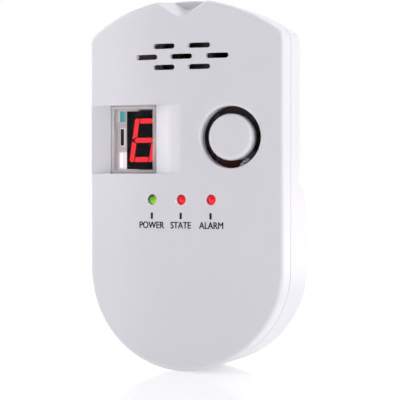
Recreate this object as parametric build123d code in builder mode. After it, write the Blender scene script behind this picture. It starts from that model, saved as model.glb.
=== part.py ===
"""Plug-in carbon monoxide detector with a digital display, sounder, test button and three lamps.

Frame: the origin is on the face that rests against the wall, midway between the two plug blades.
+X is to the right seen from the front, +Y points into the wall and +Z is up. Millimetres.
Heights are measured from the wall towards the front, so a height h lies at Y = -h.
"""
from build123d import *

import os
from math import atan2, cos, degrees, pi, radians, sin, sqrt, tan

os.makedirs("parts", exist_ok=True)

# Housing outline, seen from the front
WIDTH = 68.0
HEIGHT = 120.3
MID_Z = 28.0  # the blades sit this far below the middle of the face
TOP_ARC_R = 55.4
TOP_CORNER_R = 4.0
CHIN_DEPTH = 33.2  # the straight sides end this far above the bottom
CHIN_SIDE_R = 32.4

# Heights above the wall
CROWN = 29.0
CROWN_R = 195.0
PARTING = 18.6
PARTING_GAP = 0.4
BACK = 8.6  # rear face of the thin upper body
WALL = 1.8
FACE_EDGE_R = 1.3
BACK_EDGE_R = 1.4
SHOULDER_Z = 1.5  # where the plug bulge leaves the thin body
SHOULDER_DROP = 15.5

# Joint between the two covers: a tongue on the rear cover in a rebate of the front cover
TONGUE_INSET = 1.05
TONGUE_HEIGHT = 1.5
TONGUE_PLAY = 0.1

# Window channel and lens
WINDOW_LOW = 3.8
WINDOW_HIGH = 26.3
LENS_X = -19.05
LENS_Z = 15.05
LENS_WIDTH = 16.1
LENS_TALL = 21.8
LENS_FACE = 24.0
LENS_BACK = 21.4
LENS_PLATE = 1.1
LENS_RIM = 1.35
LENS_GAP = 0.25
FLANGE_OUT = 0.8
FLANGE_THICK = 0.8
CLIP_LENGTH = 5.9
CHANNEL_FLOOR = 1.6
CHANNEL_LEFT = 26.1  # height of the channel's floor at the left side
CHANNEL_BEND = 25.7
RAMP_END_X = -2.6
RAMP_BLEND_R = 12.0

# Scooped notch in the top edge
NOTCH_FLOOR = 22.0
NOTCH_TIP = 53.8
NOTCH_FLOOR_TIP = 56.9
NOTCH_SLOPE = 0.6
NOTCH_FLOOR_SLOPE = 0.54
NOTCH_ROUND = 3.5  # radius of the V at the floor
NOTCH_FLARE = 1.4
NOTCH_REACH = 16.0  # growth of that radius up to the face
NOTCH_EDGE_R = 0.5
NOTCH_WALL = 1.5

# Vents in the rear of the thin body
VENT_X = 20.0
VENT_Z = 8.0
VENT_COUNT = 4
VENT_PITCH = 4.0
VENT_LENGTH = 12.0
VENT_WIDTH = 1.8

# Sounder slots, in rows of two, three and two
SLOT_Z = 41.7
SLOT_ROW = 3.42
SLOT_PITCH = 12.3
SLOT_LENGTH = 7.7
SLOT_WIDTH = 1.7
HOLE_CHAMFER = 0.2  # at the face, round the slots and the lamp holes

# Test button and its switch
BUTTON_X = 16.6
BUTTON_Z = 15.5
BUTTON_HOLE_R = 10.0
BUTTON_RIM_R = 0.8
BUTTON_R = 7.5
BUTTON_TOP = 28.3
BUTTON_EDGE_R = 1.3
BUTTON_TRAVEL = 0.6
COLLAR_R = 11.6
COLLAR_END = 21.9
LUG_TOP = 22.9
LUG_THICK = 1.1
LUG_WIDTH = 3.0
LUG_REACH = 11.2
LUG_PLAY = 0.2
STEM_R = 2.2
STEM_END = 20.1
PRESS_GAP = 0.1
SWITCH_SIZE = 6.0
SWITCH_TALL = 3.4
PLUNGER_R = 1.75
PLUNGER_PLAY = 0.08

# Lamps
LED_PITCH = 10.3
LED_Z = -4.65
LED_R = 1.5
LED_HOLE_R = 1.7
LED_TOP = 28.5
LED_FLANGE_R = 1.9
LED_BASE = 23.2

# Circuit board and what stands on it
BOARD_TOP = 13.0
BOARD_THICK = 1.6
BOARD_BACK = BOARD_TOP - BOARD_THICK
BOARD_INSET = 3.2
PIN_END = 10.7
PIN_R = 0.3
PIN_HOLE_R = 0.5

DISPLAY_X = -16.5
DISPLAY_Z = 14.9
DISPLAY_WIDTH = 12.6
DISPLAY_TALL = 19.2
DISPLAY_FACE = 21.0
FACE_SHEET = 0.2
DIGIT_X = -16.5
DIGIT_Z = 14.87
DIGIT_TALL = 14.4
DIGIT_WIDTH = 8.7
DIGIT_STROKE = 1.65
DIGIT_GAP = 0.28
DIGIT_LEAN = 8.5  # degrees
DIGIT_CORNER = 0.5
POINT_X = 5.35  # decimal point, from the middle of the display
POINT_R = 0.7

SOUNDER_R = 10.6
SOUNDER_TOP = 24.2
SENSOR_X = 22.4
SENSOR_Z = 4.6
SENSOR_R = 6.3
SENSOR_TOP = 20.4

# Screws
COVER_SCREWS = [(-27, 44.5), (27, 44.5), (-20, -45.5), (20, -45.5)]
BOARD_SCREWS = [(-26, 33), (26, 33), (-24, -36), (24, -36)]
COVER_BOSS_R = 3.0
COVER_PILOT_R = 1.05
COVER_BOSS_END = 12.1
SCREW_SEAT = 10.5
SCREW_TUBE_R = 4.0
SCREW_SINK_R = 3.1
BOARD_POST_R = 2.4
BOARD_PILOT_R = 0.8

# Plug: two flat blades of the common unpolarised pattern
BLADE_SPACING = 12.7
BLADE_WIDE = 6.35
BLADE_THICK = 1.5
BLADE_LENGTH = 17.0
BLADE_HOLE_R = 1.6
BLADE_HOLE_AT = 11.7
PLUG_Z = -MID_Z
BLADE_SPOTS = [(-BLADE_SPACING / 2, PLUG_Z), (BLADE_SPACING / 2, PLUG_Z)]
BLOCK_TOP = 7.5
BLADE_HEAD = 9.0

front_rim = PARTING + PARTING_GAP / 2
rear_rim = PARTING - PARTING_GAP / 2


def level(height):
    """A sketch plane that faces the front at one height, centred on the middle of the face."""
    return Plane(origin=(0, -height, MID_Z), x_dir=(1, 0, 0), z_dir=(0, -1, 0))


def outline(height, inset=0.0):
    """The housing's outline: arched top, straight sides and a chin of three tangent arcs."""
    half = WIDTH / 2
    top = HEIGHT / 2
    corner_z = top - TOP_ARC_R + sqrt(TOP_ARC_R**2 - half**2)
    chin_z = CHIN_DEPTH - top
    side_x = half - CHIN_SIDE_R
    chin_r = (half**2 + CHIN_DEPTH**2 - 2 * half * CHIN_SIDE_R) / (2 * (CHIN_DEPTH - CHIN_SIDE_R))
    rise = chin_r - CHIN_DEPTH
    turn = degrees(atan2(rise, side_x))
    with BuildSketch(level(height)) as face:
        with BuildLine():
            ThreePointArc((-half, corner_z), (0, top), (half, corner_z))
            Line((half, corner_z), (half, chin_z))
            CenterArc((side_x, chin_z), CHIN_SIDE_R, 0, -turn)
            CenterArc((0, chin_z + rise), chin_r, -turn, 2 * turn - 180)
            CenterArc((-side_x, chin_z), CHIN_SIDE_R, turn - 180, -turn)
            Line((-half, chin_z), (-half, corner_z))
        make_face()
        fillet(face.vertices().group_by(Axis.Y)[-1], TOP_CORNER_R)
        if inset > 0:
            offset(amount=-inset)
    return face.sketch


def crowned_block(inset, base):
    """A block with the housing's outline whose front is crowned about an upright axis."""
    with BuildPart() as block:
        extrude(outline(base, inset), amount=CROWN - base)
        with BuildSketch(Plane.XY.offset(MID_Z - HEIGHT)):
            with Locations((0, CROWN_R - CROWN)):
                Circle(CROWN_R - inset)
        extrude(amount=2 * HEIGHT, mode=Mode.INTERSECT)
    return block.part


def rear_block(inset, top):
    """The rear cover's form: a thin body above, and below it the bulge that carries the plug."""
    shoulder_r = (SHOULDER_DROP**2 + BACK**2) / (2 * BACK)
    shoulder_z = MID_Z + SHOULDER_Z
    foot_z = shoulder_z - SHOULDER_DROP
    half_turn = atan2(SHOULDER_DROP, shoulder_r - BACK) / 2
    middle = (shoulder_r * (cos(half_turn) - 1), foot_z + shoulder_r * sin(half_turn))
    behind = 5.0
    above = MID_Z + HEIGHT
    with BuildPart() as block:
        extrude(outline(inset, inset), amount=top - inset)
        with BuildSketch(Plane.YZ.offset(-WIDTH)):
            with BuildLine():
                ThreePointArc((-BACK, shoulder_z), middle, (0, foot_z))
                Polyline((0, foot_z), (behind, foot_z), (behind, above), (-BACK, above), (-BACK, shoulder_z))
            make_face()
            if inset > 0:
                offset(amount=inset)
        extrude(amount=2 * WIDTH, mode=Mode.SUBTRACT)
    return block.part


def window_channel(grow):
    """The scooped channel round the lens; grown, it is the material that lines the channel."""
    left = -WIDTH / 2 - 1.5
    right = 12.0
    lens_left = LENS_X - LENS_WIDTH / 2
    lens_right = LENS_X + LENS_WIDTH / 2
    over = CROWN + 5.0
    with BuildPart() as channel:
        with BuildSketch(Plane.XY.offset(MID_Z + WINDOW_LOW - grow)) as profile:
            with BuildLine():
                bend = ((left + lens_left) / 2, -CHANNEL_BEND)
                ThreePointArc((left, -CHANNEL_LEFT), bend, (lens_left, -LENS_FACE))
                Polyline(
                    (lens_left, -LENS_FACE),
                    (lens_right, -LENS_FACE),
                    (RAMP_END_X, -CROWN - 0.02),
                    (right, -CROWN - 0.1),
                    (right, -over),
                    (left, -over),
                    (left, -CHANNEL_LEFT),
                )
            make_face()
            fillet(profile.vertices().sort_by_distance((RAMP_END_X, -CROWN))[0], RAMP_BLEND_R)
            if grow > 0:
                offset(amount=grow, kind=Kind.INTERSECTION)
        extrude(amount=WINDOW_HIGH - WINDOW_LOW + 2 * grow)
    return channel.part


def notch_mark(height, grow):
    """The notch's V at one height: it narrows and climbs towards the notch's floor."""
    part_way = (height - NOTCH_FLOOR) / (CROWN - NOTCH_FLOOR)
    tip = NOTCH_FLOOR_TIP + part_way * (NOTCH_TIP - NOTCH_FLOOR_TIP) - grow
    slope = NOTCH_FLOOR_SLOPE + part_way * (NOTCH_SLOPE - NOTCH_FLOOR_SLOPE)
    reach = NOTCH_REACH
    with BuildSketch(level(height)) as mark:
        with BuildLine():
            Polyline((0, tip), (reach, tip + slope * reach), (-reach, tip + slope * reach), (0, tip))
        make_face()
        fillet(mark.vertices().group_by(Axis.Y)[0], NOTCH_ROUND + part_way * NOTCH_FLARE)
    return mark.sketch


def notch(grow):
    """The scoop in the top edge, open upwards and to the front."""
    with BuildPart() as scoop:
        loft([notch_mark(NOTCH_FLOOR - grow, grow), notch_mark(CROWN + 1.0, grow)])
    return scoop.part


def posts(spots, radius, bottom, top):
    """Round posts standing between two heights, one at each spot of the face."""
    with BuildPart() as group:
        with BuildSketch(level(bottom)):
            with Locations(*spots):
                Circle(radius)
        extrude(amount=top - bottom)
    return group


def block(spot, width, tall, bottom, top, corner=0.0):
    """A rectangular body at one spot, between two heights, with rounded upright edges."""
    with BuildPart() as body:
        with BuildSketch(level(bottom)):
            with Locations(spot):
                RectangleRounded(width, tall, corner) if corner else Rectangle(width, tall)
        extrude(amount=top - bottom)
    return body


def pins(spots):
    """Straight solder pins from under a component through the board."""
    return posts(spots, PIN_R, PIN_END, BOARD_TOP)


def row(centre, count, pitch, gap):
    """Spots of two rows of pins, either side of a centre."""
    x, z = centre
    places = [x + (i - (count - 1) / 2) * pitch for i in range(count)]
    return [(place, z + side * gap / 2) for side in (-1, 1) for place in places]


# The front cover's inner details, cut off under the crowned face
with BuildPart() as cover_insides:
    add(window_channel(CHANNEL_FLOOR))
    add(notch(NOTCH_WALL))
    add(posts(COVER_SCREWS, COVER_BOSS_R, COVER_BOSS_END, CROWN).part)
    add(posts(BOARD_SCREWS, BOARD_POST_R, BOARD_TOP, CROWN).part)
    add(posts([(BUTTON_X, BUTTON_Z)], COLLAR_R, COLLAR_END, CROWN).part)
    add(crowned_block(WALL / 2, COVER_BOSS_END), mode=Mode.INTERSECT)


def on_face(edge, spots, reach):
    """Whether an edge lies on the crowned face, round one of some spots."""
    middle = edge.center()
    sag = middle.X**2 / (2 * CROWN_R)
    near = [abs(middle.X - x) < reach + 0.1 and abs(middle.Z - MID_Z - z) < 2 for x, z in spots]
    return any(near) and abs(middle.Y + CROWN - sag) < 0.3


def on_notch(edge):
    """Whether an edge bounds the notch on the crowned face, or its floor at the top of the cover."""
    middle = edge.center()
    mouth = abs(middle.X) < NOTCH_REACH and middle.Z - MID_Z > NOTCH_TIP and middle.Y < -CROWN + 0.6
    floor_end = abs(middle.X) < 0.1 and abs(middle.Y + NOTCH_FLOOR) < 0.05
    return mouth or (floor_end and middle.Z - MID_Z > NOTCH_FLOOR_TIP + 2)


# Front cover: a thin crowned shell with the window channel, notch, slots and holes
led_spots = [(-LED_PITCH, LED_Z), (0, LED_Z), (LED_PITCH, LED_Z)]
slot_spots = [(x * SLOT_PITCH, SLOT_Z) for x in (-1, 0, 1)]
slot_spots += [(x * SLOT_PITCH / 2, SLOT_Z + z * SLOT_ROW) for x in (-1, 1) for z in (-1, 1)]
with BuildPart() as front_cover:
    add(crowned_block(0, front_rim))
    fillet(front_cover.edges().filter_by(lambda edge: edge.center().Y < -LENS_FACE), FACE_EDGE_R)
    add(crowned_block(WALL, front_rim - 1), mode=Mode.SUBTRACT)
    extrude(outline(front_rim, TONGUE_INSET - TONGUE_PLAY), amount=TONGUE_HEIGHT, mode=Mode.SUBTRACT)
    add(cover_insides.part)
    add(window_channel(0), mode=Mode.SUBTRACT)
    add(notch(0), mode=Mode.SUBTRACT)
    with BuildSketch(level(LENS_BACK - 1)):
        with Locations((LENS_X, LENS_Z)):
            Rectangle(LENS_WIDTH + 2 * LENS_GAP, LENS_TALL + 2 * LENS_GAP)
    extrude(amount=CROWN - LENS_BACK, mode=Mode.SUBTRACT)
    with BuildSketch(level(COLLAR_END - 1)):
        with Locations((BUTTON_X, BUTTON_Z)):
            Circle(BUTTON_HOLE_R)
    extrude(amount=CROWN, mode=Mode.SUBTRACT)
    loops = front_cover.edges().filter_by(lambda edge: edge.is_closed)
    rims = loops.filter_by(lambda edge: abs(edge.length / (2 * pi) - BUTTON_HOLE_R) < 0.1)
    fillet(rims.sort_by(Axis.Y)[0], BUTTON_RIM_R)
    with BuildSketch(level(COLLAR_END - 1)):
        with Locations((BUTTON_X, BUTTON_Z)):
            with PolarLocations(COLLAR_R, 4, start_angle=45):
                Rectangle(2 * BUTTON_TRAVEL + COLLAR_R - BUTTON_R, LUG_WIDTH + 2 * LUG_PLAY)
    extrude(amount=LUG_TOP + LUG_PLAY - COLLAR_END + 1, mode=Mode.SUBTRACT)
    with BuildSketch(level(PARTING)):
        with Locations(*slot_spots):
            SlotOverall(SLOT_LENGTH, SLOT_WIDTH)
        with Locations(*led_spots):
            Circle(LED_HOLE_R)
    extrude(amount=CROWN, mode=Mode.SUBTRACT)
    openings = front_cover.edges().filter_by(lambda edge: on_face(edge, slot_spots, SLOT_LENGTH / 2))
    openings += front_cover.edges().filter_by(lambda edge: on_face(edge, led_spots, LED_HOLE_R))
    chamfer(openings, HOLE_CHAMFER)
    fillet(front_cover.edges().filter_by(on_notch), NOTCH_EDGE_R)
    add(posts(COVER_SCREWS, COVER_PILOT_R, COVER_BOSS_END - 1, 22).part, mode=Mode.SUBTRACT)
    add(posts(BOARD_SCREWS, BOARD_PILOT_R, BOARD_TOP - 1, 20).part, mode=Mode.SUBTRACT)

# Rear cover: thin body, plug bulge, tongue, screw tubes, blade slots and vents
upper_screws = COVER_SCREWS[:2]
lower_screws = COVER_SCREWS[2:]
vent_spots = [(side * VENT_X, VENT_Z + i * VENT_PITCH) for side in (-1, 1) for i in range(VENT_COUNT)]
with BuildPart() as rear_cover:
    add(rear_block(0, rear_rim))
    behind = rear_cover.edges().filter_by(lambda edge: edge.center().Y > -BACK - 0.1)
    fillet(behind - behind.filter_by(Axis.X), BACK_EDGE_R)
    extrude(outline(rear_rim, TONGUE_INSET), amount=TONGUE_HEIGHT)
    add(rear_block(WALL, PARTING + TONGUE_HEIGHT), mode=Mode.SUBTRACT)
    add(posts(upper_screws, SCREW_TUBE_R, BACK + 0.5, COVER_BOSS_END).part)
    add(posts(lower_screws, SCREW_TUBE_R, 0.5, COVER_BOSS_END).part)
    add(posts(COVER_SCREWS, SCREW_SINK_R, -1, SCREW_SEAT).part, mode=Mode.SUBTRACT)
    add(posts(COVER_SCREWS, COVER_PILOT_R + 0.4, SCREW_SEAT - 1, CROWN).part, mode=Mode.SUBTRACT)
    with BuildSketch(level(-1)):
        with Locations(*BLADE_SPOTS):
            Rectangle(BLADE_THICK + 0.4, BLADE_WIDE + 0.4)
    extrude(amount=WALL + 2, mode=Mode.SUBTRACT)
    with BuildSketch(level(BACK - 1)):
        with Locations(*vent_spots):
            SlotOverall(VENT_LENGTH, VENT_WIDTH)
    extrude(amount=WALL + 2, mode=Mode.SUBTRACT)

# Lens: a clear tray with a rim behind it, a flange that bears on the cover and two clip gaps
with BuildPart() as display_lens:
    add(block((LENS_X, LENS_Z), LENS_WIDTH, LENS_TALL, LENS_BACK, LENS_FACE, 0.5).part)
    flange_width = LENS_WIDTH + 2 * FLANGE_OUT
    flange_tall = LENS_TALL + 2 * FLANGE_OUT
    add(block((LENS_X, LENS_Z), flange_width, flange_tall, LENS_BACK, LENS_BACK + FLANGE_THICK, 0.8).part)
    inside = (LENS_WIDTH - 2 * LENS_RIM, LENS_TALL - 2 * LENS_RIM)
    under = LENS_FACE - LENS_PLATE
    add(block((LENS_X, LENS_Z), *inside, LENS_BACK - 1, under, 0.6).part, mode=Mode.SUBTRACT)
    for side in (-1, 1):
        clip = (LENS_X + side * (LENS_WIDTH - LENS_RIM) / 2, LENS_Z - 0.2)
        clip_gap = block(clip, LENS_RIM + 0.1, CLIP_LENGTH, LENS_BACK + FLANGE_THICK, under)
        add(clip_gap.part, mode=Mode.SUBTRACT)

# Test button: a round cap with four lugs held behind the collar and a stem over the switch
with BuildPart() as test_button:
    with BuildSketch(level(LUG_TOP - LUG_THICK)):
        with Locations((BUTTON_X, BUTTON_Z)):
            Circle(BUTTON_R)
    extrude(amount=BUTTON_TOP - LUG_TOP + LUG_THICK)
    fillet(test_button.edges().group_by(Axis.Y)[0], BUTTON_EDGE_R)
    with BuildSketch(level(LUG_TOP - LUG_THICK)):
        with Locations((BUTTON_X, BUTTON_Z)):
            with PolarLocations((BUTTON_R + LUG_REACH) / 2 - 0.5, 4, start_angle=45):
                Rectangle(LUG_REACH - BUTTON_R + 1, LUG_WIDTH)
    extrude(amount=LUG_THICK)
    hollow = posts([(BUTTON_X, BUTTON_Z)], BUTTON_R - 1.2, LUG_TOP - LUG_THICK - 1, BUTTON_TOP - 1.4)
    add(hollow.part, mode=Mode.SUBTRACT)
    add(posts([(BUTTON_X, BUTTON_Z)], STEM_R, STEM_END, BUTTON_TOP - 1).part)

# Push switch under the button: body, pressed plate, plunger and four legs
switch_spot = (BUTTON_X, BUTTON_Z)
body_top = BOARD_TOP + SWITCH_TALL
plunger_foot = BOARD_TOP + 1.6
with BuildPart() as switch_body:
    add(block(switch_spot, SWITCH_SIZE, SWITCH_SIZE, BOARD_TOP, body_top, 0.4).part)
    cavity_r = PLUNGER_R + PLUNGER_PLAY
    add(posts([switch_spot], cavity_r, BOARD_TOP + 0.7, body_top + 1).part, mode=Mode.SUBTRACT)
with BuildPart() as switch_plate:
    add(block(switch_spot, SWITCH_SIZE, SWITCH_SIZE, body_top, body_top + 0.3, 0.4).part)
    add(posts([switch_spot], cavity_r, body_top - 1, body_top + 1).part, mode=Mode.SUBTRACT)
    with BuildSketch(level(body_top + 0.3)):
        with Locations(switch_spot):
            with GridLocations(4.6, 4.6, 2, 2):
                Circle(0.45)
    extrude(amount=0.15)
switch_plunger = posts([switch_spot], PLUNGER_R, plunger_foot, STEM_END - PRESS_GAP)
switch_pins = row(switch_spot, 2, 6.5, 4.5)
switch_legs = posts(switch_pins, PIN_R, PIN_END, BOARD_TOP)

# Lamps: a domed body with a flange, on a spacer, with two leads each
def lamp(spot):
    """A round lamp body with a domed tip and a flange at its base."""
    x, z = spot
    with BuildPart() as body:
        add(posts([spot], LED_FLANGE_R, LED_BASE, LED_BASE + 1).part)
        add(posts([spot], LED_R, LED_BASE, LED_TOP).part)
        fillet(body.edges().group_by(Axis.Y)[0], LED_R - 0.1)
    return body


power_led, state_led, alarm_led = [lamp(spot) for spot in led_spots]
lead_spots = [(x + side * 1.27, z) for x, z in led_spots for side in (-1, 1)]
led_leads = posts(lead_spots, 0.25, PIN_END, LED_BASE)
with BuildPart() as led_spacers:
    add(posts(led_spots, LED_FLANGE_R, BOARD_TOP, LED_BASE).part)
    add(posts(lead_spots, 0.35, BOARD_TOP - 1, LED_BASE + 1).part, mode=Mode.SUBTRACT)

# Numeric display: body, black front sheet with seven windows and a point, and their inserts
def level_bar(place):
    """A level bar at the foot, middle or top of the figure: square ends, or pointed in the middle."""
    half = DIGIT_STROKE / 2
    if place == 0:
        tip = DIGIT_WIDTH / 2 - 0.9 * half
        shoulder = tip - half
        upper = [(-tip, 0), (-shoulder, half), (shoulder, half)]
        return upper + [(tip, 0), (shoulder, -half), (-shoulder, -half)]
    reach = DIGIT_WIDTH / 2 - DIGIT_STROKE - DIGIT_GAP
    outer = place * DIGIT_TALL / 2
    inner = outer - place * DIGIT_STROKE
    return [(-reach, inner), (-reach, outer), (reach, outer), (reach, inner)]


def upright_bar(side, end):
    """An upright bar: it runs to the figure's end there, and is cut slantwise at the middle."""
    outer = side * DIGIT_WIDTH / 2
    inner = outer - side * DIGIT_STROKE
    tip = end * DIGIT_TALL / 2
    return [
        (outer, end * DIGIT_GAP),
        (outer, tip - end * DIGIT_CORNER),
        (outer - side * DIGIT_CORNER, tip),
        (inner, tip),
        (inner, end * (DIGIT_STROKE / 2 + DIGIT_GAP)),
    ]


def bars(outlines, point):
    """The inserts of some bars, and of the decimal point where asked."""
    lean = tan(radians(DIGIT_LEAN))
    with BuildPart() as inserts:
        with BuildSketch(level(DISPLAY_FACE - FACE_SHEET)):
            for outline_points in outlines:
                leaning = [(DIGIT_X + x + lean * z, DIGIT_Z + z) for x, z in outline_points]
                with BuildLine():
                    Polyline(*leaning, close=True)
                make_face()
            if point:
                with Locations((DISPLAY_X + POINT_X, DIGIT_Z - DIGIT_TALL / 2 + POINT_R)):
                    Circle(POINT_R)
        extrude(amount=FACE_SHEET)
    return inserts


lit_bars = [level_bar(place) for place in (-1, 0, 1)]
lit_bars += [upright_bar(-1, 1), upright_bar(-1, -1), upright_bar(1, -1)]
lit_segments = bars(lit_bars, point=False)
unlit_segments = bars([upright_bar(1, 1)], point=True)
display_spot = (DISPLAY_X, DISPLAY_Z)
display_size = (DISPLAY_WIDTH, DISPLAY_TALL)
display_body = block(display_spot, *display_size, BOARD_TOP, DISPLAY_FACE - FACE_SHEET, 0.3)
with BuildPart() as display_face:
    add(block(display_spot, *display_size, DISPLAY_FACE - FACE_SHEET, DISPLAY_FACE, 0.3).part)
    add(lit_segments.part, mode=Mode.SUBTRACT)
    add(unlit_segments.part, mode=Mode.SUBTRACT)
display_spots = row(display_spot, 5, 2.54, 15.24)
display_pins = pins(display_spots)

# Small parts beside the display: a resistor, a chip inside its printed outline and a connector
status_resistor = block((-27.95, 23.0), 2.0, 3.6, BOARD_TOP, BOARD_TOP + 1.6, 0.5)
chip_size = (1.05, 5.6)
print_size = (1.6, 6.2)
driver_spot = (-28.0, 16.1)
driver_chip = block(driver_spot, *chip_size, BOARD_TOP, BOARD_TOP + 0.7, 0.2)
with BuildPart() as chip_outline:
    add(block(driver_spot, *print_size, BOARD_TOP, BOARD_TOP + 0.3).part)
    add(block(driver_spot, *chip_size, BOARD_TOP - 1, BOARD_TOP + 1, 0.2).part, mode=Mode.SUBTRACT)
connector_spot = (-27.65, 8.3)
with BuildPart() as service_connector:
    add(block(connector_spot, 1.95, 5.6, BOARD_TOP, BOARD_TOP + 1.6, 0.2).part)
    add(block(connector_spot, 0.9, 4.6, BOARD_TOP + 0.6, BOARD_TOP + 3).part, mode=Mode.SUBTRACT)

# Sounder: a case with a sound hole, a thin disc inside, a foam ring and two pins
sounder_spot = (0, SLOT_Z)
chamber_low = BOARD_TOP + 1.2
chamber_high = SOUNDER_TOP - 1.0
disc_low = BOARD_TOP + 3.0
with BuildPart() as sounder_case:
    add(posts([sounder_spot], SOUNDER_R, BOARD_TOP, SOUNDER_TOP).part)
    fillet(sounder_case.edges().group_by(Axis.Y)[0], 0.8)
    add(posts([sounder_spot], SOUNDER_R - 1.2, chamber_low, disc_low).part, mode=Mode.SUBTRACT)
    add(posts([sounder_spot], SOUNDER_R - 2.0, disc_low - 1, chamber_high).part, mode=Mode.SUBTRACT)
    add(posts([sounder_spot], 1.8, chamber_high - 1, SOUNDER_TOP + 1).part, mode=Mode.SUBTRACT)
sounder_disc = posts([sounder_spot], SOUNDER_R - 1.3, disc_low - 0.4, disc_low - 0.1)
with BuildPart() as sounder_gasket:
    add(posts([sounder_spot], SOUNDER_R - 0.8, SOUNDER_TOP, SOUNDER_TOP + 2.6).part)
    add(posts([sounder_spot], SOUNDER_R - 2.6, SOUNDER_TOP - 1, CROWN).part, mode=Mode.SUBTRACT)
sounder_spots = [(-3.8, SLOT_Z), (3.8, SLOT_Z)]
sounder_pins = pins(sounder_spots)

# Gas sensor, beside the button where air reaches it through the gap round the cap
sensor_spot = (SENSOR_X, SENSOR_Z)
sensor_floor = BOARD_TOP + 1.6
with BuildPart() as sensor_base:
    add(posts([sensor_spot], SENSOR_R, BOARD_TOP, sensor_floor).part)
    fillet(sensor_base.edges().group_by(Axis.Y)[0], 0.4)
with BuildPart() as sensor_can:
    add(posts([sensor_spot], SENSOR_R - 0.5, sensor_floor, SENSOR_TOP).part)
    fillet(sensor_can.edges().group_by(Axis.Y)[0], 0.6)
    add(posts([sensor_spot], SENSOR_R - 0.9, sensor_floor - 1, SENSOR_TOP - 0.4).part, mode=Mode.SUBTRACT)
    add(posts([sensor_spot], SENSOR_R - 2.1, SENSOR_TOP - 1, SENSOR_TOP + 1).part, mode=Mode.SUBTRACT)
with BuildPart() as sensor_mesh:
    add(posts([sensor_spot], SENSOR_R - 1.0, SENSOR_TOP - 0.7, SENSOR_TOP - 0.4).part)
    with BuildSketch(level(SENSOR_TOP - 1)):
        with Locations(sensor_spot):
            with HexLocations(0.75, 6, 5):
                Circle(0.4)
    extrude(amount=1, mode=Mode.SUBTRACT)
with BuildPart() as sensor_element:
    add(posts([sensor_spot], 1.0, sensor_floor + 1.2, sensor_floor + 3.6).part)
    add(posts([sensor_spot], 0.6, sensor_floor, sensor_floor + 5).part, mode=Mode.SUBTRACT)
sensor_spots = row(sensor_spot, 3, 2.5, 7.0)
sensor_pins = pins(sensor_spots)

# Controller chip with gull-wing legs
chip_spot = (-14.0, -14.2)
chip_half = 3.75
controller_chip = block(chip_spot, 12.8, 2 * chip_half, BOARD_TOP + 0.2, BOARD_TOP + 2.5, 0.2)
leg_out = [(1.35, 0), (1.35, 0.6), (0.2, 0.85), (0.2, 1.5), (0, 1.5), (0, 0.65), (1.15, 0.4), (1.15, 0)]
with BuildSketch(Plane.YZ) as leg_pair:
    for side in (-1, 1):
        root_z = MID_Z + chip_spot[1] + side * chip_half
        with BuildLine():
            Polyline(*[(-BOARD_TOP - up, root_z + side * out) for up, out in leg_out], close=True)
        make_face()
with BuildPart() as chip_legs:
    for i in range(10):
        place = chip_spot[0] + (i - 4.5) * 1.27
        extrude(leg_pair.sketch.moved(Location((place, 0, 0))), amount=0.2, both=True)

# Trimmer for the alarm level
trimmer_spot = (2.0, -14.0)
with BuildPart() as trimmer_body:
    add(block(trimmer_spot, 6.8, 6.8, BOARD_TOP, BOARD_TOP + 4.4, 0.3).part)
    add(posts([trimmer_spot], 2.0, BOARD_TOP + 3.4, BOARD_TOP + 5).part, mode=Mode.SUBTRACT)
with BuildPart() as trimmer_screw:
    add(posts([trimmer_spot], 1.9, BOARD_TOP + 3.4, BOARD_TOP + 4.3).part)
    add(block(trimmer_spot, 3.0, 0.6, BOARD_TOP + 3.8, BOARD_TOP + 5).part, mode=Mode.SUBTRACT)

# Low-voltage supply: transformer, two filter capacitors, rectifier and regulator
transformer_spot = (-4.0, -41.0)
with BuildPart() as transformer_core:
    add(block(transformer_spot, 16, 5, BOARD_TOP + 1, BOARD_TOP + 12.6).part)
    add(block(transformer_spot, 11.4, 6, BOARD_TOP + 3, BOARD_TOP + 10.6).part, mode=Mode.SUBTRACT)
    add(block(transformer_spot, 4, 5, BOARD_TOP + 1, BOARD_TOP + 12.6).part)
with BuildPart() as transformer_bobbin:
    for low in (BOARD_TOP + 3.1, BOARD_TOP + 9.5):
        add(block(transformer_spot, 11.0, 12.0, low, low + 0.9, 0.5).part)
    add(block(transformer_spot, 5.6, 6.6, BOARD_TOP + 3.1, BOARD_TOP + 10.4).part)
    add(block(transformer_spot, 4.2, 5.2, BOARD_TOP, CROWN).part, mode=Mode.SUBTRACT)
    for side in (-1, 1):
        foot = (transformer_spot[0], transformer_spot[1] + side * 4.6)
        add(block(foot, 11.0, 2.8, BOARD_TOP, BOARD_TOP + 3.5).part)
with BuildPart() as transformer_winding:
    add(block(transformer_spot, 10.4, 11.2, BOARD_TOP + 4.0, BOARD_TOP + 9.5, 2.0).part)
    add(block(transformer_spot, 5.6, 6.6, BOARD_TOP, CROWN).part, mode=Mode.SUBTRACT)
transformer_spots = row(transformer_spot, 4, 2.5, 9.2)
transformer_pins = pins(transformer_spots)

can_spots = [(-23.2, -25.0), (22.6, -17.0)]
with BuildPart() as filter_capacitors:
    add(posts(can_spots, 4.0, BOARD_TOP, BOARD_TOP + 11.5).part)
    fillet(filter_capacitors.edges().group_by(Axis.Y)[0], 0.5)
can_leads = [(x + side * 1.75, z) for x, z in can_spots for side in (-1, 1)]
capacitor_leads = pins(can_leads)
rectifier_spot = (20.2, -28.6)
rectifier = block(rectifier_spot, 8.4, 6.4, BOARD_TOP + 0.3, BOARD_TOP + 3.5, 0.2)
rectifier_spots = row(rectifier_spot, 2, 5.0, 6.4 + 2 * PIN_R)
rectifier_legs = posts(rectifier_spots, PIN_R, PIN_END, BOARD_TOP + 1.5)
regulator_spot = (11.6, -14.0)
with BuildPart() as regulator:
    add(posts([regulator_spot], 2.3, BOARD_TOP + 2.5, BOARD_TOP + 7.2).part)
    flat = (regulator_spot[0], regulator_spot[1] - 2.6)
    add(block(flat, 5.0, 2.6, BOARD_TOP, CROWN).part, mode=Mode.SUBTRACT)
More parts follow.
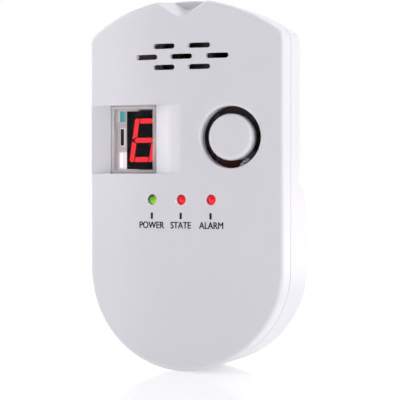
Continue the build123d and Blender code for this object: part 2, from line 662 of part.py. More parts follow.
regulator_spots = [(regulator_spot[0] + i * 1.27, regulator_spot[1]) for i in (-1, 0, 1)]
regulator_legs = posts(regulator_spots, 0.22, PIN_END, BOARD_TOP + 2.5)

# Mains side: suppressor capacitor, surge disc and fuse
suppressor_spot = (13.0, -38.0)
suppressor_capacitor = block(suppressor_spot, 13.0, 5.4, BOARD_TOP, BOARD_TOP + 10.5, 0.4)
surge_spot = (9.4, -46.4)
surge_thick = 4.0
with BuildPart() as surge_disc:
    with BuildSketch(Plane.XY.offset(MID_Z + surge_spot[1] - surge_thick / 2)):
        with Locations((surge_spot[0], -BOARD_TOP - 5.6)):
            Circle(4.8)
    extrude(amount=surge_thick)
    fillet(surge_disc.edges().filter_by(GeomType.CIRCLE), 1.2)
surge_leads = [(surge_spot[0] + side * 2.5, surge_spot[1]) for side in (-1, 1)]
suppressor_leads = [(suppressor_spot[0] + side * 5.0, suppressor_spot[1]) for side in (-1, 1)]
with BuildPart() as mains_leads:
    add(pins(suppressor_leads).part)
    add(posts(surge_leads, PIN_R, PIN_END, BOARD_TOP + 2.5).part)
    add(surge_disc.part, mode=Mode.SUBTRACT)

fuse_z = MID_Z - 52.6
fuse_height = BOARD_TOP + 2.6
fuse_half = 6.0
fuse_r = 1.7
cap_length = 2.4
cap_r = 2.0


def along_fuse(radius, start, length):
    """A round bar on the fuse's axis."""
    with BuildPart() as bar:
        with BuildSketch(Plane.YZ.offset(start)):
            with Locations((-fuse_height, fuse_z)):
                Circle(radius)
        extrude(amount=length)
    return bar.part


with BuildPart() as fuse_tube:
    add(along_fuse(fuse_r, -fuse_half + 0.3, 2 * fuse_half - 0.6))
    add(along_fuse(fuse_r - 0.5, -fuse_half, 2 * fuse_half), mode=Mode.SUBTRACT)
with BuildPart() as fuse_caps:
    for side in (-1, 1):
        start = side * (fuse_half - cap_length / 2) - cap_length / 2
        add(along_fuse(cap_r, start, cap_length))
    add(along_fuse(fuse_r, -fuse_half + 0.3, 2 * fuse_half - 0.6), mode=Mode.SUBTRACT)
with BuildPart() as fuse_clips:
    for side in (-1, 1):
        clip = (side * (fuse_half - cap_length / 2), fuse_z - MID_Z)
        add(block(clip, cap_length - 0.6, 2 * cap_r + 1.0, BOARD_TOP, fuse_height + 1.0).part)
    add(along_fuse(cap_r, -2 * fuse_half, 4 * fuse_half), mode=Mode.SUBTRACT)
    cut = (0, fuse_z - MID_Z)
    add(block(cut, 4 * fuse_half, 2.4, fuse_height, CROWN).part, mode=Mode.SUBTRACT)

# Plug: an insulating block inside the bulge holds two blades, each met by a strip from the board
plug_block_low = WALL
with BuildPart() as plug_block:
    add(block((0, PLUG_Z), 26.0, 15.0, plug_block_low, BLOCK_TOP, 1.5).part)
    with BuildSketch(level(0)):
        with Locations(*BLADE_SPOTS):
            Rectangle(BLADE_THICK + 0.1, BLADE_WIDE + 0.1)
    extrude(amount=CROWN, mode=Mode.SUBTRACT)
with BuildPart() as plug_blades:
    with BuildSketch(level(-BLADE_LENGTH)):
        with Locations(*BLADE_SPOTS):
            Rectangle(BLADE_THICK, BLADE_WIDE)
    extrude(amount=BLADE_LENGTH + BLOCK_TOP)
    tips = plug_blades.edges().group_by(Axis.Y)[-1]
    chamfer(tips.filter_by(Axis.X), 1.0)
    chamfer(plug_blades.edges().group_by(Axis.Y)[-1].filter_by(Axis.Z), 0.45)
    with BuildSketch(level(BLOCK_TOP)):
        with Locations(*BLADE_SPOTS):
            Rectangle(BLADE_THICK, BLADE_WIDE + 3.0)
    extrude(amount=BLADE_HEAD - BLOCK_TOP)
    with BuildSketch(Plane.YZ.offset(-WIDTH / 2)):
        with Locations((BLADE_HOLE_AT, MID_Z + PLUG_Z)):
            Circle(BLADE_HOLE_R)
    extrude(amount=WIDTH, mode=Mode.SUBTRACT)
strip_thick = 0.4
strip_x = (BLADE_SPACING + BLADE_THICK + strip_thick) / 2 + 0.05
strip_spots = [(-strip_x, PLUG_Z), (strip_x, PLUG_Z)]
with BuildPart() as blade_contacts:
    with BuildSketch(level(BLOCK_TOP + 0.2)):
        with Locations(*strip_spots):
            Rectangle(strip_thick, 4.0)
    extrude(amount=BOARD_TOP + 1.0 - BLOCK_TOP - 0.2)

# Main board, cut round the screw tubes and drilled for every pin
pin_spots = switch_pins + lead_spots + display_spots + sounder_spots + sensor_spots
pin_spots += transformer_spots + can_leads + rectifier_spots + regulator_spots
pin_spots += surge_leads + suppressor_leads
with BuildPart() as main_board:
    extrude(outline(BOARD_BACK, BOARD_INSET), amount=BOARD_THICK)
    for x, z in COVER_SCREWS:
        outward = (x + (5 if x > 0 else -5), z)
        reach = 2 * (SCREW_TUBE_R + 0.4)
        add(block(outward, 10.0, reach, PIN_END, CROWN).part, mode=Mode.SUBTRACT)
    add(posts(COVER_SCREWS, SCREW_TUBE_R + 0.4, PIN_END, CROWN).part, mode=Mode.SUBTRACT)
    add(posts(BOARD_SCREWS, 1.0, PIN_END, CROWN).part, mode=Mode.SUBTRACT)
    add(posts(pin_spots, PIN_HOLE_R, PIN_END, CROWN).part, mode=Mode.SUBTRACT)
    with BuildSketch(level(PIN_END)):
        with Locations(*strip_spots):
            Rectangle(strip_thick + 0.3, 4.4)
    extrude(amount=CROWN, mode=Mode.SUBTRACT)


# Screws, entered from the rear: heads with a cross recess on self-tapping shanks
def screws(spots, seat, head_r, head_tall, shank_r, length):
    """Pan-head screws whose heads bear on one height and whose shanks point to the front."""
    low = seat - head_tall
    with BuildPart() as group:
        add(posts(spots, head_r, low, seat).part)
        fillet(group.edges().group_by(Axis.Y)[-1], head_tall / 3)
        add(posts(spots, shank_r, seat, seat + length).part)
        chamfer(group.edges().group_by(Axis.Y)[0], shank_r / 2)
        with BuildSketch(level(low - 1)):
            with Locations(*spots):
                Rectangle(head_r * 1.1, head_r / 4)
                Rectangle(head_r / 4, head_r * 1.1)
        extrude(amount=1 + head_tall / 2, mode=Mode.SUBTRACT)
    return group


cover_screws = screws(COVER_SCREWS, SCREW_SEAT, 2.7, 1.7, 1.0, 10.0)
board_screws = screws(BOARD_SCREWS, BOARD_BACK, 2.1, 0.7, 0.75, 7.5)

# Rating plate, blank, on the rear of the thin body
rating_plate = block((0, 32), 40.0, 24.0, BACK - 0.3, BACK, 2.0)

pieces = {
    "front_cover": front_cover,
    "rear_cover": rear_cover,
    "display_lens": display_lens,
    "test_button": test_button,
    "switch_body": switch_body,
    "switch_plate": switch_plate,
    "switch_plunger": switch_plunger,
    "switch_legs": switch_legs,
    "power_led": power_led,
    "state_led": state_led,
    "alarm_led": alarm_led,
    "led_leads": led_leads,
    "led_spacers": led_spacers,
    "main_board": main_board,
    "display_body": display_body,
    "display_face": display_face,
    "lit_segments": lit_segments,
    "unlit_segments": unlit_segments,
    "display_pins": display_pins,
    "status_resistor": status_resistor,
    "driver_chip": driver_chip,
    "chip_outline": chip_outline,
    "service_connector": service_connector,
    "sounder_case": sounder_case,
    "sounder_disc": sounder_disc,
    "sounder_gasket": sounder_gasket,
    "sounder_pins": sounder_pins,
    "sensor_base": sensor_base,
    "sensor_can": sensor_can,
    "sensor_mesh": sensor_mesh,
    "sensor_element": sensor_element,
    "sensor_pins": sensor_pins,
    "controller_chip": controller_chip,
    "chip_legs": chip_legs,
    "trimmer_body": trimmer_body,
    "trimmer_screw": trimmer_screw,
    "transformer_core": transformer_core,
    "transformer_bobbin": transformer_bobbin,
    "transformer_winding": transformer_winding,
    "transformer_pins": transformer_pins,
    "filter_capacitors": filter_capacitors,
    "capacitor_leads": capacitor_leads,
    "rectifier": rectifier,
    "rectifier_legs": rectifier_legs,
    "regulator": regulator,
    "regulator_legs": regulator_legs,
    "suppressor_capacitor": suppressor_capacitor,
    "surge_disc": surge_disc,
    "mains_leads": mains_leads,
    "fuse_tube": fuse_tube,
    "fuse_caps": fuse_caps,
    "fuse_clips": fuse_clips,
    "plug_block": plug_block,
    "plug_blades": plug_blades,
    "blade_contacts": blade_contacts,
    "cover_screws": cover_screws,
    "board_screws": board_screws,
    "rating_plate": rating_plate,
}
for name, piece in pieces.items():
    piece.part.label = name
    export_step(piece.part, f"parts/{name}.step")
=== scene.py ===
import math

import bmesh
import bpy
from mathutils import Matrix, Vector


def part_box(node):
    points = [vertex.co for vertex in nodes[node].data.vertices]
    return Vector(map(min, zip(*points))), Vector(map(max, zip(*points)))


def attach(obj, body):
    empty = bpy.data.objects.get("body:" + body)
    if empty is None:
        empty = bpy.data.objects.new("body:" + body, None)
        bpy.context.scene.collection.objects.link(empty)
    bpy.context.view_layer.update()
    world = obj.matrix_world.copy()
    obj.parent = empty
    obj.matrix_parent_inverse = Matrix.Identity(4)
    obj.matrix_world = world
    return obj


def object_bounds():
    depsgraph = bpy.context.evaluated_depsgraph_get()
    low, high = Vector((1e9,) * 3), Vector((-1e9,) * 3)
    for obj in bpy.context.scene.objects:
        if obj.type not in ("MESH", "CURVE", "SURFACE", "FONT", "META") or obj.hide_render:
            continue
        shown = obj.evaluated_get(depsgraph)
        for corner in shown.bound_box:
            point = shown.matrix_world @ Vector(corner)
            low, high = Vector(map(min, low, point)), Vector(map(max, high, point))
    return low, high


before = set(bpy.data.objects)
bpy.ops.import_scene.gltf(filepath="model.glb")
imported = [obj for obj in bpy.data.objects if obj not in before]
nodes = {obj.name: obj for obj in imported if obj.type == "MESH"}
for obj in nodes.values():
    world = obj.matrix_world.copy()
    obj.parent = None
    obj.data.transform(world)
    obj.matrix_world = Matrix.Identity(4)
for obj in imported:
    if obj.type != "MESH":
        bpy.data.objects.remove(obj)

cad_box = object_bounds()


# ---- Covers -----------------------------------------------------------------------------------
# The two halves of the housing are injection-moulded glossy white plastic with a faint lilac cast.
# The moulded skin is smooth, with the slight unevenness of thick plastic. Four screws hold them.

class Signal:
    """A shader socket that takes part in arithmetic, so that a mask reads as a sum."""

    def __init__(self, finish, socket):
        self.finish = finish
        self.socket = socket

    def maths(self, operation, first, second):
        return self.finish.node("ShaderNodeMath", {"operation": operation}, {0: first, 1: second})

    def __add__(self, other):
        return self.maths("ADD", self, other)

    def __sub__(self, other):
        return self.maths("SUBTRACT", self, other)

    def __rsub__(self, other):
        return self.maths("SUBTRACT", other, self)

    def __mul__(self, other):
        return self.maths("MULTIPLY", self, other)

    def __truediv__(self, other):
        return self.maths("DIVIDE", self, other)

    def __abs__(self):
        return self.finish.node("ShaderNodeMath", {"operation": "ABSOLUTE"}, {0: self})

    def __gt__(self, other):
        return self.maths("GREATER_THAN", self, other)

    def __lt__(self, other):
        return self.maths("LESS_THAN", self, other)

    __radd__ = __add__
    __rmul__ = __mul__


class Wiring:
    """The nodes of a material or of the world, laid from their shader outwards."""

    def __init__(self, holder, shader_kind, output_kind):
        holder.use_nodes = True
        self.tree = holder.node_tree
        self.tree.nodes.clear()
        self.shader = self.tree.nodes.new(shader_kind)
        output = self.tree.nodes.new(output_kind)
        self.tree.links.new(self.shader.outputs[0], output.inputs["Surface"])

    def feed(self, key, value, node=None):
        socket = (node or self.shader).inputs[key]
        if isinstance(value, Signal):
            self.tree.links.new(value.socket, socket)
        else:
            socket.default_value = value

    def node(self, kind, settings=None, sockets=None, output=0):
        """Adds a node: its settings first, then the values or links of its sockets."""
        made = self.tree.nodes.new(kind)
        for name, value in (settings or {}).items():
            if name == "stops":
                for i, (place, colour) in enumerate(value):
                    stop = made.color_ramp.elements[i] if i < 2 else made.color_ramp.elements.new(place)
                    stop.position = place
                    stop.color = colour
            else:
                setattr(made, name, value)
        for key, value in (sockets or {}).items():
            self.feed(key, value, made)
        return Signal(self, made.outputs[output])


class Finish(Wiring):
    """One material: its shader's constant sockets are named when it is made, the rest are fed."""

    def __init__(self, name, **constants):
        self.material = bpy.data.materials.new(name)
        super().__init__(self.material, "ShaderNodeBsdfPrincipled", "ShaderNodeOutputMaterial")
        for key, value in constants.items():
            self.feed("IOR" if key == "ior" else key.replace("_", " ").title(), value)

    def place(self):
        """The place on the object, in metres."""
        return self.node("ShaderNodeTexCoord", output="Object")

    def fed(self, key):
        """What already feeds a socket of the shader."""
        return Signal(self, self.shader.inputs[key].links[0].from_socket)

    def along(self, axis):
        """The place along X, Y or Z, in metres."""
        return self.node("ShaderNodeSeparateXYZ", None, {0: self.place()}, output="XYZ".index(axis))

    def clamped(self, value):
        """A value held between 0 and 1."""
        return self.node("ShaderNodeMath", {"use_clamp": True}, {0: value, 1: 0.0})

    def noise(self, size, detail=2.0, place=None):
        """Soft noise whose patches are about one size, in metres."""
        sockets = {"Vector": place or self.place(), "Scale": 1 / size, "Detail": detail}
        return self.node("ShaderNodeTexNoise", None, sockets)

    def mix(self, factor, first, second):
        """A colour between two others."""
        settings = {"data_type": "RGBA"}
        return self.node("ShaderNodeMix", settings, {0: factor, 6: first, 7: second}, output=2)

    def bump(self, height, depth, strength=1.0):
        """Relief of a given depth in metres."""
        sockets = {"Height": height, "Distance": depth, "Strength": strength}
        self.feed("Normal", self.node("ShaderNodeBump", None, sockets))

    def dress(self, *pieces):
        """Gives the material to CAD nodes, named, or to new pieces."""
        for piece in pieces:
            shown = nodes[piece] if isinstance(piece, str) else piece
            if not shown.material_slots:
                shown.data.materials.append(self.material)
            for holder in shown.material_slots:
                holder.material = self.material


def moulded(name, light, shade, gloss, patch=0.018, grain=0.00035, **constants):
    """Moulded plastic: two near tones in soft patches over a skin with a very fine grain."""
    plastic = Finish(name, **constants)
    cloud = plastic.noise(patch, 3.0)
    fine = plastic.noise(grain, 2.0)
    plastic.feed("Base Color", plastic.mix(cloud, (*shade, 1), (*light, 1)))
    plastic.feed("Roughness", gloss + 0.08 * (cloud - 0.5) + 0.04 * (fine - 0.5))
    plastic.bump(fine, 0.000004)
    return plastic


def white_with_painted_shade(name, painted_shade_mask, painted_shade_colour):
    """The white plastic of the covers and the button, with painted shade where a mask of the place says
    so.
    """
    plastic = moulded(name, (0.81, 0.79, 0.85), (0.785, 0.765, 0.825), 0.24)
    skin = plastic.fed("Base Color")
    plastic.feed("Base Color", plastic.mix(painted_shade_mask(plastic), skin, (*painted_shade_colour, 1)))
    return plastic


button_low, button_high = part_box("test_button")
button_axis = ((button_low.x + button_high.x) / 2, 0, (button_low.z + button_high.z) / 2)
collar_reach = 0.0116
collar_top = cad_box[0].y + 0.0046
collar_foot = cad_box[0].y + 0.0095


def collar_painted_shade(plastic):
    """The collar round the button, deep in the gap, where the cover is painted near black as painted
    shade.
    """
    offset = {0: plastic.place(), 1: button_axis}
    from_axis = plastic.node("ShaderNodeVectorMath", {"operation": "SUBTRACT"}, offset)
    flat = plastic.node("ShaderNodeVectorMath", {"operation": "MULTIPLY"}, {0: from_axis, 1: (1, 0, 1)})
    reach = plastic.node("ShaderNodeVectorMath", {"operation": "LENGTH"}, {0: flat}, output=1)
    depth = plastic.along("Y")
    return (reach < collar_reach) * (depth > collar_top) * (depth < collar_foot)


# The collar deep in the button's gap is painted near black: painted shade for the lack of light there.
white = white_with_painted_shade("cover_white_painted_shade", collar_painted_shade, (0.07, 0.068, 0.072))
white.dress("front_cover", "rear_cover")


# ---- Printed marks ----------------------------------------------------------------------------
# Three words in narrow black capitals under the lamps, each with a short tick above it.
# They are pad-printed on the crowned face, a few hundredths of a millimetre thick.

face_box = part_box("front_cover")
crown_y = face_box[0].y
crown_radius = 0.195
ink_thickness = 0.00004
letter_weight = [(x, z) for x in (-0.00006, 0, 0.00006) for z in (-0.00003, 0.00003)]
caption_height = 0.00213
caption_drop = 0.00825
tick_drop = 0.00526
tick_size = (0.00078, 0.0021)


def wrap_on_face(mesh):
    """Lays a flat mesh, drawn in X and Z, on the crowned face: its Y becomes height off the face."""
    for vertex in mesh.vertices:
        x = vertex.co.x
        sag = crown_radius - math.sqrt(crown_radius**2 - x * x)
        vertex.co.y += crown_y + sag


def printed_word(text, x, z, width):
    """One word in raised ink, centred on a place of the face."""
    curve = bpy.data.curves.new(text.lower() + "_print", "FONT")
    curve.body = text
    curve.align_x = "CENTER"
    curve.align_y = "CENTER"
    curve.extrude = 0.5
    letters = bpy.data.objects.new(curve.name, curve)
    bpy.context.scene.collection.objects.link(letters)
    bpy.context.view_layer.update()
    mesh = bpy.data.meshes.new_from_object(letters)
    bpy.data.objects.remove(letters)
    xs = [v.co.x for v in mesh.vertices]
    ys = [v.co.y for v in mesh.vertices]
    for vertex in mesh.vertices:
        across = (vertex.co.x - (min(xs) + max(xs)) / 2) * width / (max(xs) - min(xs))
        up = (vertex.co.y - (min(ys) + max(ys)) / 2) * caption_height / (max(ys) - min(ys))
        vertex.co = (x + across, -ink_thickness * (vertex.co.z + 0.5), z + up)
    heavy = bmesh.new()
    for shift_x, shift_z in letter_weight:
        start = len(heavy.verts)
        heavy.from_mesh(mesh)
        heavy.verts.ensure_lookup_table()
        bmesh.ops.translate(heavy, vec=(shift_x, 0, shift_z), verts=heavy.verts[start:])
    heavy.to_mesh(mesh)
    heavy.free()
    wrap_on_face(mesh)
    word = bpy.data.objects.new(mesh.name, mesh)
    bpy.context.scene.collection.objects.link(word)
    return word


ink = Finish("black_ink", roughness=0.75)
ink_cloud = ink.noise(0.0006, 3.0)
ink.feed("Base Color", ink.mix(ink_cloud, (0.005, 0.005, 0.006, 1), (0.012, 0.012, 0.014, 1)))
lamp_names = ("power_led", "state_led", "alarm_led")
captions = (("POWER", 0.00884, -0.00006), ("STATE", 0.00706, 0), ("ALARM", 0.00808, 0.00018))
for lamp, (text, width, shift) in zip(lamp_names, captions):
    low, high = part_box(lamp)
    lamp_x = (low.x + high.x) / 2
    lamp_z = (low.z + high.z) / 2
    word = printed_word(text, lamp_x + shift, lamp_z - caption_drop, width)
    word.name = text.lower() + "_caption"
    mesh = bpy.data.meshes.new(text.lower() + "_tick")
    shape = bmesh.new()
    half_x, half_z = tick_size[0] / 2, tick_size[1] / 2
    tick_z = lamp_z - tick_drop
    corners = [(-half_x, -half_z), (half_x, -half_z), (half_x, half_z), (-half_x, half_z)]
    points = [shape.verts.new((lamp_x + cx, 0, tick_z + cz)) for cx, cz in corners]
    sheet = shape.faces.new(points)
    bmesh.ops.bevel(shape, geom=list(shape.verts), offset=0.00012, segments=3, affect="VERTICES")
    raised = bmesh.ops.extrude_face_region(shape, geom=list(shape.faces))
    for item in raised["geom"]:
        if isinstance(item, bmesh.types.BMVert):
            item.co.y -= ink_thickness
    bmesh.ops.recalc_face_normals(shape, faces=shape.faces)
    shape.to_mesh(mesh)
    shape.free()
    wrap_on_face(mesh)
    tick = bpy.data.objects.new(mesh.name, mesh)
    bpy.context.scene.collection.objects.link(tick)
    for mark in (word, tick):
        ink.dress(mark)
        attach(mark, "housing")


# ---- Window lens ------------------------------------------------------------------------------
# A clear moulded tray pushed in from inside. Its thick edges look grey against the white cover,
# where they bend and reflect light. It is shown as a nearly transparent skin that does not bend
# light, and the grey of its edges is painted on as a pale, nearly opaque rim: painted light.

lens_low, lens_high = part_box("display_lens")
lens_flange = 0.0008
lens_rim = 0.0011
clear = Finish("lens_clear", roughness=0.06)
near_side = abs(clear.along("X") - (lens_low.x + lens_high.x) / 2)
near_end = abs(clear.along("Z") - (lens_low.z + lens_high.z) / 2)
# The rim mask: painted light, standing in for light bent and reflected in the tray's thick edges.
in_side = near_side > (lens_high.x - lens_low.x) / 2 - lens_flange - lens_rim
in_end = near_end > (lens_high.z - lens_low.z) / 2 - lens_flange - 0.8 * lens_rim
rim_painted_grey = clear.node("ShaderNodeMath", {"operation": "MAXIMUM"}, {0: in_side, 1: in_end})
clear_haze = clear.noise(0.004, 2.0)
clear.feed("Base Color", clear.mix(clear_haze, (0.74, 0.72, 0.74, 1), (0.80, 0.78, 0.80, 1)))
clear.feed("Alpha", 0.003 + 0.003 * clear_haze + 0.7 * rim_painted_grey)
clear.dress("display_lens")


# ---- Display ----------------------------------------------------------------------------------
# A standard one-figure display: a grey moulded body, a black printed front and resin bars that
# glow red where they are lit. The figure shown is a six.

case = moulded("display_case", (0.60, 0.60, 0.61), (0.52, 0.52, 0.53), 0.45)
case.dress("display_body")
front = Finish("display_black", roughness=0.12)
front_cloud = front.noise(0.002, 3.0)
front.feed("Base Color", front.mix(front_cloud, (0.004, 0.004, 0.005, 1), (0.012, 0.011, 0.012, 1)))
front.dress("display_face")
lit = Finish("bar_lit", roughness=0.4, emission_strength=1.0)
lit_cloud = lit.noise(0.0012, 2.0)
lit.feed("Base Color", (0.25, 0.006, 0.012, 1))
lit.feed("Emission Color", lit.mix(lit_cloud, (0.76, 0.004, 0.014, 1), (0.84, 0.012, 0.03, 1)))
lit.dress("lit_segments")
dark_bar = Finish("bar_dark", roughness=0.4)
dark_cloud = dark_bar.noise(0.0012, 2.0)
dark_bar.feed("Base Color", dark_bar.mix(dark_cloud, (0.012, 0.006, 0.007, 1), (0.02, 0.01, 0.012, 1)))
dark_bar.dress("unlit_segments")


# ---- Lamps ------------------------------------------------------------------------------------
# Three 3 mm lamps of tinted clear resin, one green and two red, all lit. The glow is strongest
# low on the right of each, and fades to dark resin on the other side.

glow_reach = 0.0022
for lamp, tint, dim, glow in (
    ("power_led", (0.02, 0.13, 0.02), (0.006, 0.06, 0.005), (0.34, 0.62, 0.02)),
    ("state_led", (0.30, 0.006, 0.015), (0.42, 0.004, 0.014), (0.90, 0.014, 0.035)),
    ("alarm_led", (0.30, 0.006, 0.015), (0.42, 0.004, 0.014), (0.90, 0.014, 0.035)),
):
    resin = Finish(lamp + "_resin", roughness=0.10, emission_strength=1.0)
    resin_cloud = resin.noise(0.0009, 1.0)
    resin.feed("Base Color", resin.mix(resin_cloud, (*tint, 1), (*[c * 0.8 for c in tint], 1)))
    low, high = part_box(lamp)
    across = resin.along("X") - (low.x + high.x) / 2
    up = resin.along("Z") - (low.z + high.z) / 2
    lit_side = resin.clamped((0.7 * across - 0.7 * up) / glow_reach + 0.45)
    resin.feed("Emission Color", resin.mix(lit_side, (*dim, 1), (*glow, 1)))
    resin.dress(lamp)


# ---- Test button ------------------------------------------------------------------------------
# A hollow white cap on a stem, with four lugs that catch behind the collar of the front cover.
# Deep in the gap it is painted dark: painted shade, which stands in for the lack of light there.

gap_top = crown_y + 0.0052
cap = white_with_painted_shade("button_white_painted_shade", lambda plastic: plastic.along("Y") > gap_top, (0.06, 0.058, 0.062))
cap.dress("test_button")


# ---- Board and what stands on it --------------------------------------------------------------
# Tan paper-laminate board with parts in black, white and coloured resin, tinned leads and plated
# metal. Only its left edge is seen, through the window, and a little through the button's gap.
# What lies beside the display glows slightly: painted light, which stands in for light let in by the
# window. This takes in the board's left edge, the white connector, the chip's printed outline and the
# teal resistor, whose left end glows white.

laminate = moulded(
    "board_laminate", (0.60, 0.52, 0.50), (0.52, 0.45, 0.43), 0.5, patch=0.003, emission_strength=0.8
)
# Painted light: the board's left edge beside the display glows, standing in for light through the window.
painted_light_beside_display = laminate.along("X") < -0.022
laminate.feed("Emission Color", laminate.mix(painted_light_beside_display, (0, 0, 0, 1), (0.42, 0.35, 0.37, 1)))
laminate.dress("main_board")
black = moulded("part_black", (0.03, 0.03, 0.032), (0.018, 0.018, 0.02), 0.5)
black.dress(
    "switch_body", "switch_plunger", "sounder_case", "sensor_base", "controller_chip", "driver_chip",
    "rectifier", "regulator", "transformer_bobbin", "led_spacers",
)
part_white = moulded("part_white", (0.82, 0.80, 0.81), (0.74, 0.72, 0.73), 0.4)
part_white.dress("plug_block", "trimmer_screw")
# Painted light: the white connector beside the display glows, standing in for light through the window.
lit_white = moulded("window_white_painted_glow", (0.82, 0.80, 0.81), (0.74, 0.72, 0.73), 0.4, emission_strength=0.7)
lit_white.feed("Emission Color", (0.9, 0.87, 0.9, 1))
lit_white.dress("service_connector")
# Painted light: the chip's printed outline glows, standing in for light through the window.
board_print = moulded("board_print", (0.88, 0.88, 0.86), (0.80, 0.80, 0.78), 0.6, emission_strength=0.6)
board_print.feed("Emission Color", (0.9, 0.87, 0.9, 1))
board_print.dress("chip_outline")
# Painted light: the resistor glows teal, and its left end glows white, standing in for window light.
teal = moulded("resistor_teal_painted_glow", (0.14, 0.42, 0.44), (0.10, 0.33, 0.36), 0.3, emission_strength=0.6)
left_end_glow = teal.along("X") < -0.0284
teal.feed("Emission Color", teal.mix(left_end_glow, (0.10, 0.40, 0.42, 1), (0.85, 0.83, 0.86, 1)))
teal.dress("status_resistor")
blue = moulded("resin_blue", (0.04, 0.14, 0.45), (0.03, 0.10, 0.36), 0.3)
blue.dress("trimmer_body", "surge_disc")
yellow = moulded("case_yellow", (0.80, 0.58, 0.10), (0.72, 0.50, 0.08), 0.35)
yellow.dress("suppressor_capacitor", "transformer_winding")
sleeve = moulded("can_sleeve", (0.05, 0.06, 0.10), (0.03, 0.04, 0.07), 0.3)
sleeve.dress("filter_capacitors")
ferrite = moulded("ferrite", (0.10, 0.10, 0.11), (0.07, 0.07, 0.08), 0.55)
ferrite.dress("transformer_core")
foam = moulded("foam", (0.05, 0.05, 0.055), (0.03, 0.03, 0.033), 0.9, patch=0.0008)
foam.dress("sounder_gasket")
ceramic = moulded("ceramic", (0.85, 0.83, 0.78), (0.78, 0.76, 0.70), 0.6)
ceramic.dress("sensor_element")


def metal(name, light, dull, roughness):
    """Sheet or wire metal, with a faintly streaked and dulled skin."""
    plate = Finish(name, metallic=1.0)
    cloud = plate.noise(0.0025, 4.0)
    plate.feed("Base Color", plate.mix(cloud, (*dull, 1), (*light, 1)))
    plate.feed("Roughness", roughness + 0.2 * (cloud - 0.5))
    plate.bump(plate.noise(0.0002, 2.0), 0.000003)
    return plate


tin = metal("tinned", (0.75, 0.74, 0.71), (0.60, 0.59, 0.56), 0.35)
tin.dress(
    "led_leads", "display_pins", "sounder_pins", "sensor_pins", "transformer_pins", "capacitor_leads",
    "rectifier_legs", "regulator_legs", "mains_leads", "chip_legs", "switch_legs",
)
plated = metal("plated_steel", (0.72, 0.72, 0.73), (0.60, 0.60, 0.62), 0.28)
plated.dress("switch_plate", "sensor_can", "sensor_mesh", "fuse_caps", "fuse_clips")
spring = metal("spring_brass", (0.80, 0.62, 0.32), (0.66, 0.48, 0.22), 0.3)
spring.dress("blade_contacts", "sounder_disc")
fuse_glass = Finish("fuse_glass", transmission_weight=1.0, ior=1.5)
fuse_glass.feed("Roughness", 0.01 + 0.02 * fuse_glass.noise(0.003))
fuse_glass.dress("fuse_tube")


# ---- Plug, screws and rating plate ------------------------------------------------------------
# Two plated blades stand out of the rear bulge. Zinc-plated screws hold the covers from behind,
# and a blank silver film label is stuck on the thin upper body.

blade_metal = metal("blade_plating", (0.80, 0.78, 0.72), (0.68, 0.66, 0.60), 0.25)
blade_metal.dress("plug_blades")
zinc = metal("screw_zinc", (0.58, 0.58, 0.60), (0.42, 0.42, 0.45), 0.35)
zinc.dress("cover_screws", "board_screws")
film = moulded("label_film", (0.74, 0.74, 0.75), (0.70, 0.70, 0.71), 0.35)
film.dress("rating_plate")


# ---- Studio -----------------------------------------------------------------------------------
# A pale glossy floor in a cove, bright behind the object and dark on the camera's side. The cove
# is white to the camera and stronger in mirrored rays, so that the floor shows a reflection.
# Soft boxes stand left, above, right and behind, and the long lens looks from the front right.

scene = bpy.context.scene
scene.view_settings.view_transform = "Standard"
scene.view_settings.look = "None"

front_light = 0.0
back_light = 0.62
gloss_gain = 0.8
world = bpy.data.worlds.new("cove")
scene.world = world
cove = Wiring(world, "ShaderNodeBackground", "ShaderNodeOutputWorld")
cove.feed("Color", (1, 1, 1, 1))
direction = cove.node("ShaderNodeTexCoord")
backwards = cove.node("ShaderNodeSeparateXYZ", None, {0: direction}, output=1)
span = {"Value": backwards, "From Min": -0.6, "From Max": 0.6, "To Min": front_light, "To Max": back_light}
level = cove.node("ShaderNodeMapRange", None, span)
seen = cove.node("ShaderNodeLightPath", output="Is Camera Ray")
mirrored = cove.node("ShaderNodeLightPath", output="Is Glossy Ray")
lighting = level * (gloss_gain * mirrored + 1.0)
cove.feed("Strength", cove.node("ShaderNodeMix", None, {"Factor": seen, "A": lighting, "B": 1.0}))

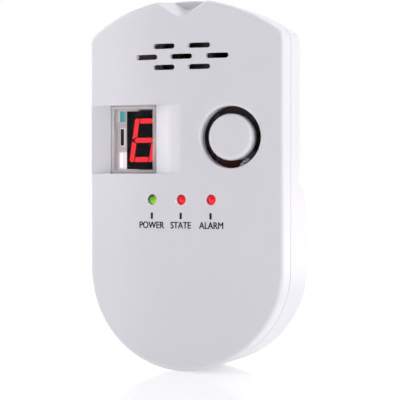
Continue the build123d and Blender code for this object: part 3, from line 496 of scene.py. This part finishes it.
floor_z = cad_box[0].z - 0.0002
floor_mesh = bpy.data.meshes.new("floor")
floor_shape = bmesh.new()
edge = 4.0
for x, y in ((-edge, -edge), (edge, -edge), (edge, edge), (-edge, edge)):
    floor_shape.verts.new((x, y, floor_z))
floor_shape.faces.new(floor_shape.verts)
floor_shape.to_mesh(floor_mesh)
floor_shape.free()
floor = bpy.data.objects.new("floor", floor_mesh)
scene.collection.objects.link(floor)
pale = Finish("floor_pale", roughness=0.07, emission_strength=1.0)
glow_start, glow_width = 0.06, 0.3
far_off = pale.clamped((pale.along("Y") - glow_start) / glow_width)
pale.feed("Base Color", (0.9, 0.9, 0.9, 1))
pale.feed("Emission Color", pale.mix(far_off, (0.24, 0.24, 0.24, 1), (1, 1, 1, 1)))
pale.dress(floor)


centre = Vector((0, crown_y, (cad_box[0].z + cad_box[1].z) / 2 + 0.00017))
box_distance = 0.7


def towards(azimuth, elevation):
    """The direction from the object to a place round it: azimuth from the front to the right."""
    turn, rise = math.radians(azimuth), math.radians(elevation)
    return Vector((math.sin(turn) * math.cos(rise), -math.cos(turn) * math.cos(rise), math.sin(rise)))


def soft_box(name, azimuth, elevation, size, watts):
    """A rectangular soft box that faces the object."""
    light = bpy.data.lights.new(name, "AREA")
    light.shape = "RECTANGLE"
    light.size = size[0]
    light.size_y = size[1]
    light.energy = watts
    lamp_object = bpy.data.objects.new(name, light)
    lamp_object.location = centre + towards(azimuth, elevation) * box_distance
    lamp_object.rotation_euler = (-towards(azimuth, elevation)).to_track_quat("-Z", "Y").to_euler()
    scene.collection.objects.link(lamp_object)


soft_box("key_box", -52, 20, (0.45, 0.6), 1.62)
soft_box("left_box", -88, 8, (0.4, 0.6), 2.2)
soft_box("overhead_back", 180, 62, (0.7, 0.4), 0.45)
soft_box("overhead", 0, 84, (0.6, 0.3), 1.3)
soft_box("right_strip", 66, 0, (0.1, 0.8), 3.6)
soft_box("right_box", 108, 8, (0.4, 0.7), 0.5)

distance = 0.511
away = towards(22.93, 0.32)
camera_data = bpy.data.cameras.new("camera")
camera_data.sensor_width = 36.0
camera_data.lens = 142.3
camera_data.clip_start = 0.01
camera = bpy.data.objects.new("camera", camera_data)
scene.collection.objects.link(camera)
camera.location = centre + away * distance
aim = (-away).to_track_quat("-Z", "Y")
turn_right = Matrix.Rotation(math.radians(-0.70), 4, "Y")
turn_down = Matrix.Rotation(math.radians(-0.55), 4, "X")
camera.rotation_mode = "QUATERNION"
camera.rotation_quaternion = aim @ (turn_right @ turn_down).to_quaternion()
scene.camera = camera
